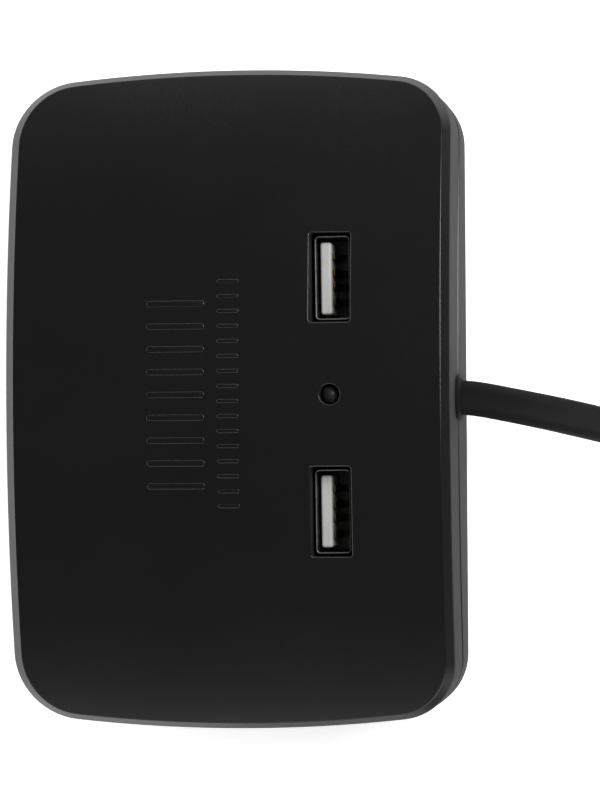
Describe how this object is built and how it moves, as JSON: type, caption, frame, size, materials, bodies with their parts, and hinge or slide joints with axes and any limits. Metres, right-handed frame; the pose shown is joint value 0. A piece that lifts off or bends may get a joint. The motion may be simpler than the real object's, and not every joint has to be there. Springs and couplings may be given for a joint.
{
  "type": "car socket splitter",
  "caption": "Arched slab housing with lighter sockets along one long side, USB ports and a light in its face, and a flat coiled lead ending in a fused lighter plug.",
  "frame": {"origin": "centre of the housing's flat back, on the surface that it lies on", "axes": "+Z out of the arched face with the USB ports, +X towards the side that the lead leaves, +Y along the housing's long side; the sockets open towards -X"},
  "size_m": [0.1619, 0.1578, 0.034],
  "materials": {
    "housing": "fine matte texture, satin sheen",
    "led_lens": "smoked clear lens",
    "nickel_sheet": "nickel plated, satin",
    "port_plastic": "white, satin",
    "contact_metal": "plated",
    "circuit_board": "green, satin",
    "ferrite": "matte, dense",
    "copper_winding": "enamelled copper",
    "capacitor_sleeve": "shrink sleeve",
    "chip_plastic": "matte",
    "chip_ceramic": "matte",
    "socket_plastic": "matte",
    "insulating_board": "pressed fibre board",
    "brass": "plain",
    "screw_steel": "zinc plated",
    "wire_red": "soft insulation",
    "wire_black": "soft insulation",
    "cord_jacket": "smooth satin jacket",
    "clamp_rubber": "matte",
    "tie_fabric": "woven hook and loop",
    "plug_plastic": "satin moulded",
    "boot_rubber": "satin",
    "contact_steel": "nickel plated",
    "spring_steel": "plain",
    "fuse_glass": "clear tube with metal ends"
  },
  "bodies": {
    "root": {"front_cover": "housing", "rear_case": "housing", "indicator_led": "led_lens", "usb_shell_1": "nickel_sheet", "usb_shell_2": "nickel_sheet", "usb_tongue_1": "port_plastic", "usb_tongue_2": "port_plastic", "usb_contacts_1": "contact_metal", "usb_contacts_2": "contact_metal", "circuit_board": "circuit_board", "inductor_core": "ferrite", "inductor_winding": "copper_winding", "capacitor_1": "capacitor_sleeve", "capacitor_2": "capacitor_sleeve", "regulator_chip": "chip_plastic", "diode": "chip_plastic", "chip_parts": "chip_ceramic", "socket_sleeve_1": "socket_plastic", "socket_sleeve_2": "socket_plastic", "socket_sleeve_3": "socket_plastic", "socket_can_1": "nickel_sheet", "socket_can_2": "nickel_sheet", "socket_can_3": "nickel_sheet", "socket_insulator_1": "insulating_board", "socket_insulator_2": "insulating_board", "socket_insulator_3": "insulating_board", "centre_contact_1": "brass", "centre_contact_2": "brass", "centre_contact_3": "brass", "contact_nuts": "screw_steel", "positive_bus": "brass", "negative_bus": "brass", "bus_wire_positive": "wire_red", "bus_wire_negative": "wire_black", "lead_wire_positive": "wire_red", "lead_wire_negative": "wire_black", "case_screws": "screw_steel", "board_screws": "screw_steel", "cord_clamp": "clamp_rubber", "cord_lead": "cord_jacket", "cord_coil": "cord_jacket", "cord_tail": "cord_jacket", "cord_tie": "tie_fabric", "plug_body": "plug_plastic", "plug_boot": "boot_rubber", "plug_tip_spring": "spring_steel", "plug_terminal": "brass"},
    "nose_cap": {"plug_nose_cap": "plug_plastic"},
    "tip": {"plug_tip": "contact_steel", "plug_fuse": "fuse_glass"},
    "side_contact_1": {"plug_side_contact_1": "contact_steel"},
    "side_contact_2": {"plug_side_contact_2": "contact_steel"}
  },
  "joints": [
    {"name": "nose_cap_turn", "type": "hinge", "parent": "root", "child": "nose_cap", "pos_m": [0.001, -0.094, 0.0124], "axis": [-1, 0, 0], "range_deg": [0, 720]},
    {"name": "tip_press", "type": "slide", "parent": "root", "child": "tip", "axis": [1, 0, 0], "range_m": [0, 0.0035], "stiffness_N_per_m": 600, "springref_m": -0.004, "deforming": ["plug_tip_spring"]},
    {"name": "side_contact_1_press", "type": "slide", "parent": "root", "child": "side_contact_1", "axis": [0, -1, 0], "range_m": [0, 0.001], "stiffness_N_per_m": 1500, "springref_m": -0.001},
    {"name": "side_contact_2_press", "type": "slide", "parent": "root", "child": "side_contact_2", "axis": [0, 1, 0], "range_m": [0, 0.001], "stiffness_N_per_m": 1500, "springref_m": -0.001}
  ]
}
